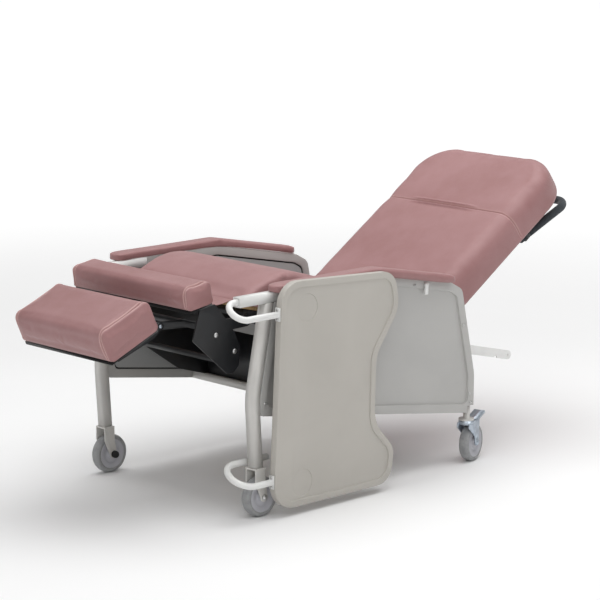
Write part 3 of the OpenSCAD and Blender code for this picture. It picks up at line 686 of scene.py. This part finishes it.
# Backrest cushion: rounded top, one cross seam gathered in the middle, open pocket behind
BACK_AXES = leaning(0.368, 0.476, 33.5)
BACK_HALF, BACK_LONG, BACK_THICK = 0.300, 0.785, 0.058
bpy.ops.mesh.primitive_cube_add(
    size=1, location=(0, (BACK_LONG - BACK_THICK) / 2, 0),
    scale=(2 * BACK_HALF, BACK_LONG + BACK_THICK, 2 * BACK_THICK))
back = bpy.context.object
back.name = "backrest_pad"
settle(back)


def round_off(piece, chosen, radius, steps):
    """Rounds the edges for which chosen(one end, other end) is true."""
    editing(piece, "EDGE")
    done()
    for edge in piece.data.edges:
        edge.select = chosen(*(piece.data.vertices[i].co for i in edge.vertices))
    bpy.ops.object.mode_set(mode="EDIT")
    bpy.ops.mesh.bevel(offset=radius, segments=steps, affect="EDGES", clamp_overlap=False)
    done()


round_off(back, lambda a, b: a.y > 0.7 and b.y > 0.7 and abs(a.z - b.z) > 0.1, 0.142, 14)
round_off(back, lambda a, b: a.z > 0.057 and b.z > 0.057, 0.046, 8)
round_off(back, lambda a, b: a.z < -0.057 and b.z < -0.057, 0.014, 4)


def notch(piece, low, high):
    """Cuts a box out of the piece."""
    bpy.ops.mesh.primitive_cube_add(
        size=1, location=[(a + b) / 2 for a, b in zip(low, high)],
        scale=[b - a for a, b in zip(low, high)])
    cutter = bpy.context.object
    settle(cutter)
    apply(piece, "BOOLEAN", object=cutter, operation="DIFFERENCE", solver="EXACT")
    bpy.data.objects.remove(cutter)


notch(back, (-0.262, 0.032, -0.2), (0.262, 0.725, -0.030))
notch(back, (-0.4, 0.078, -0.2), (0.4, 0.102, -0.030))


def back_held(p):
    """Free on the face, the sides and the top; held in the pocket and on the rear."""
    return np.clip((p[:, 2] + 0.03) / 0.05, 0, 1)


low, high = pad_form(back, 0.0065, 0.001, 0.005, back_held,
                     crown=(0.001, 0.001, 0.002), soften=4, calm=8)
places = points(back)
upper = np.clip((places[:, 1] - 0.60) / 0.185, 0, 1) ** 2
places[:, 1] += 0.006 * upper * (1 - (places[:, 0] / BACK_HALF) ** 2)
put(back, places)
SEAM = 0.484
cut_loops(back, 1, [SEAM + d * MM for d in (-14, -10, -7, -4.5, -2.2, 0, 2.2, 4.5, 7, 10, 14)])
places, outward = points(back), normals(back)
across, along = places[:, 0], places[:, 1] - SEAM
shown = np.clip((places[:, 2] + 0.05) / 0.02, 0, 1)
sunk = 0.0042 * np.exp(-(along / 0.0028) ** 2) + 0.0035 * np.exp(-(along / 0.028) ** 2)
gather = np.clip(1 - (np.abs(across + 0.01) / 0.155) ** 4, 0, 1)
lips = 0.0055 * np.exp(-((np.abs(along) - 0.0095) / 0.0046) ** 2)
tucks = 0.0007 * np.sin(across / 0.0045 + 1.7 * np.sin(across * 41)) * np.exp(-(along / 0.014) ** 2)
places += outward * (shown * (gather * (lips + tucks) - sunk))[:, None]
put(back, places)
# Painted highlight on the lips either side of the cross seam
paint_seam_highlight(back, 0.6 * shown * np.exp(-((np.abs(along) - 0.0036) / 0.0022) ** 2))
upholstered(back, BACK_AXES, "backrest", 0.7, "back_cushion")

# Rear panel of the backrest: vinyl over hardboard, its edge turned in all round
bpy.ops.mesh.primitive_cube_add(size=1, location=(0, 0.3785, -0.0545), scale=(0.523, 0.691, 0.0055))
rear_panel = bpy.context.object
rear_panel.name = "backrest_rear_panel"
settle(rear_panel)
editing(rear_panel, "FACE")
done()
for face in rear_panel.data.polygons:
    face.select = face.normal.z < -0.9
bpy.ops.object.mode_set(mode="EDIT")
bpy.ops.mesh.inset(thickness=0.006)
bpy.ops.transform.translate(value=(0, 0, -0.0012))
bpy.ops.mesh.inset(thickness=0.010)
bpy.ops.transform.translate(value=(0, 0, 0.0016))
bpy.ops.mesh.inset(thickness=0.060)
bpy.ops.transform.translate(value=(0, 0, -0.0030))
done()
apply(rear_panel, "BEVEL", width=0.0015, segments=2, limit_method="ANGLE", angle_limit=0.5)
apply(rear_panel, "SUBSURF", levels=2, render_levels=2)
rear_panel.data.transform(BACK_AXES)
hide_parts("back_cover")
finished(rear_panel, "backrest", "vinyl", ROSE)

# Arm pads: one shaped and filled, the other its mirror
arm = own_copy("arm_pad_left", "arm_rest_left", Matrix.Identity(4))
pad_form(arm, 0.004, 0.001, 0.004, soften=5, calm=5)
other = bpy.data.objects.new("arm_rest_right", arm.data.copy())
bpy.context.scene.collection.objects.link(other)
put(other, points(other) * (-1, 1, 1))
editing(other)
bpy.ops.mesh.select_all(action="SELECT")
bpy.ops.mesh.flip_normals()
done()
upholstered(arm, Matrix.Identity(4), "frame", 0.6, "arm_pad_left")
upholstered(other, Matrix.Identity(4), "frame", 0.6, "arm_pad_right")

# Flap from the seat's front edge towards the legrest: thin vinyl, its underside a darker copy of the vinyl as
# painted shade
bpy.ops.mesh.primitive_grid_add(x_subdivisions=70, y_subdivisions=16, size=1, location=(0, 0, 0))
flap = bpy.context.object
flap.name = "seat_front_flap"
grid = points(flap)
run = grid[:, 1] + 0.5
hang = 0.652 - 0.030 * run + 0.026 * run ** 3
ripple = 0.0022 * np.sin(grid[:, 0] * 13 + 0.6) * np.sin(run * math.pi)
curl = 0.003 * (2 * np.abs(grid[:, 0])) ** 8 * np.sin(run * math.pi)
put(flap, np.column_stack((grid[:, 0] * 0.465, -0.449 - 0.079 * run, hang + ripple + curl)))
editing(flap)
bpy.ops.mesh.select_all(action="SELECT")
bpy.ops.mesh.flip_normals()
done()
flap.data.materials.append(ROSE)
flap.data.materials.append(FLAP_UNDERSIDE_SHADE)
apply(flap, "SOLIDIFY", thickness=0.0014, offset=-1, material_offset=1)
finished(flap, "seat", "vinyl", ROSE, FLAP_UNDERSIDE_SHADE)
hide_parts("seat_flap")


# ---------------------------------------------------------------- small fittings

def turned(name, profile, place, body, slot, material, steps=28):
    """A round part: a profile of (distance from the axis, distance along +X), spun at a place."""
    piece = laid_out(name, [(x, r, 0) for r, x in profile], [(i, i + 1) for i in range(len(profile) - 1)], [])
    editing(piece)
    bpy.ops.mesh.select_all(action="SELECT")
    bpy.ops.mesh.spin(steps=steps, angle=2 * math.pi, center=(0, 0, 0), axis=(1, 0, 0))
    bpy.ops.mesh.select_all(action="SELECT")
    bpy.ops.mesh.remove_doubles(threshold=0.00002)
    bpy.ops.mesh.normals_make_consistent(inside=False)
    done()
    put(piece, points(piece) + np.array(place))
    finished(piece, body, slot, material)
    return piece


# Black strip in the gap round each liner: painted shadow of the gap
for side in (-1, 1):
    gap_shadow = merged_copy("panel_liners", "liner_gap_shadow_left" if side > 0 else "liner_gap_shadow_right")
    editing(gap_shadow, "FACE")
    done()
    for face in gap_shadow.data.polygons:
        face.select = face.center.x * side < 0
    bpy.ops.object.mode_set(mode="EDIT")
    bpy.ops.mesh.delete(type="FACE")
    bpy.ops.mesh.select_all(action="SELECT")
    bpy.ops.transform.shrink_fatten(value=0.0042, use_even_offset=True)
    done()
    spread = points(gap_shadow)
    depth = np.abs(spread[:, 0])
    thick = np.where(depth > depth.mean(), 0.3558, 0.3540)
    spread[:, 0] = thick * side
    put(gap_shadow, spread)
    finished(gap_shadow, "frame", "black_steel", BLACK_MOULDING)

# Cap on the inner end of the right front axle
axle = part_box("front_hub_right")
turned("axle_cap_right",
       [(0, 0.0165), (0.004, 0.0164), (0.0088, 0.0150), (0.0112, 0.0115), (0.0118, 0.006),
        (0.0118, 0.0), (0, 0.0)],
       (axle[1].x + 0.0075, (axle[0].y + axle[1].y) / 2, (axle[0].z + axle[1].z) / 2),
       "frame", "black_steel", BLACK_MOULDING)

# Domed bolts on the outer faces of the leg plates and the mechanism plates
DOME = [(0, 0.0044), (0.0034, 0.0042), (0.0062, 0.0032), (0.0078, 0.0016), (0.0080, 0.0), (0, 0.0)]
for number, (x, y, z, body) in enumerate((
        (0.267, -0.545, 0.560, "legrest"), (0.267, -0.470, 0.500, "legrest"),
        (0.291, -0.330, 0.480, "frame"), (0.291, -0.060, 0.450, "frame"))):
    for side in (-1, 1):
        turned(f"dome_bolt_{number}_{'left' if side > 0 else 'right'}",
               [(r, side * d) for r, d in DOME], (side * x, y, z), body, "zinc", STEEL, 20)

# Saddle clamps holding the push handle to the backrest's frame, each with two domed bolts
HANDLE_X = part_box("push_handle")[1].x - 0.014
HANDLE_START, HANDLE_DEPTH, HANDLE_TILT = 0.500, 0.0730, math.radians(10.65)
CLAMP_Y, CLAMP_WIDTH, CLAMP_RADIUS, CLAMP_FOOT = 0.526, 0.022, 0.0152, 0.0584
STRAP, BOLT_OUT, BOLT_SCALE = 0.0022, 0.0235, 0.7


def clamp_outline():
    """Across the handle: foot, arch over the rod, foot, as (across, out of the back's face)."""
    rod_z = -HANDLE_DEPTH - (CLAMP_Y - HANDLE_START) * math.tan(HANDLE_TILT)
    arch = [(-CLAMP_RADIUS * math.cos(a), rod_z - CLAMP_RADIUS * math.sin(a))
            for a in np.linspace(0, math.pi, 17)]
    feet = [(x, -CLAMP_FOOT) for x in (-0.031, -0.0155, 0.0155, 0.031)]
    return feet[:2] + arch + feet[2:]


outline = clamp_outline()
for side in (-1, 1):
    which = "left" if side > 0 else "right"
    clamp = laid_out(
        f"handle_clamp_{which}",
        [(HANDLE_X * side + x, CLAMP_Y + y * CLAMP_WIDTH / 2, z) for y in (-1, 1) for x, z in outline],
        [], [(i, i + 1, i + 1 + len(outline), i + len(outline)) for i in range(len(outline) - 1)])
    apply(clamp, "SOLIDIFY", thickness=STRAP, offset=0)
    apply(clamp, "BEVEL", width=0.0005, segments=2, limit_method="ANGLE", angle_limit=0.6)
    clamp.data.transform(BACK_AXES)
    finished(clamp, "backrest", "black_steel", BLACK)
    for place in (-BOLT_OUT, BOLT_OUT):
        end = "outer" if place * side > 0 else "inner"
        bolt = turned(f"handle_bolt_{which}_{end}", DOME, (0, 0, 0), "backrest", "zinc", STEEL, 20)
        seat_of_bolt = Matrix.Translation((HANDLE_X * side + place, CLAMP_Y, -CLAMP_FOOT - STRAP / 2))
        outwards = Matrix.Rotation(math.radians(90), 4, "Y")
        bolt.data.transform(BACK_AXES @ seat_of_bolt @ outwards @ Matrix.Scale(BOLT_SCALE, 4))

# ---------------------------------------------------------------- floor

bpy.ops.mesh.primitive_plane_add(size=60, location=(0, 0, 0))
floor = bpy.context.object
floor.name = "floor"
ground = Finish("pale_floor", Specular_IOR_Level=0.2, Emission_Strength=0.62)
haze = ground.noise(0.7, 4, 0.6)
reach = ground.node("ShaderNodeVectorMath", {"operation": "LENGTH"}, {0: ground.place}, "Value")
# The floor glows more the farther it lies from the chair: painted light that lights the chair from low down
far_glow = ground.mix(reach.between(1.6, 7.0), (0, 0, 0, 1), (1, 1, 1, 1))
floor.data.materials.append(ground.wear(
    Base_Color=ground.mix(haze, srgb(244, 244, 244), srgb(250, 250, 250)),
    Roughness=0.75 + haze * 0.1, Emission_Color=far_glow))
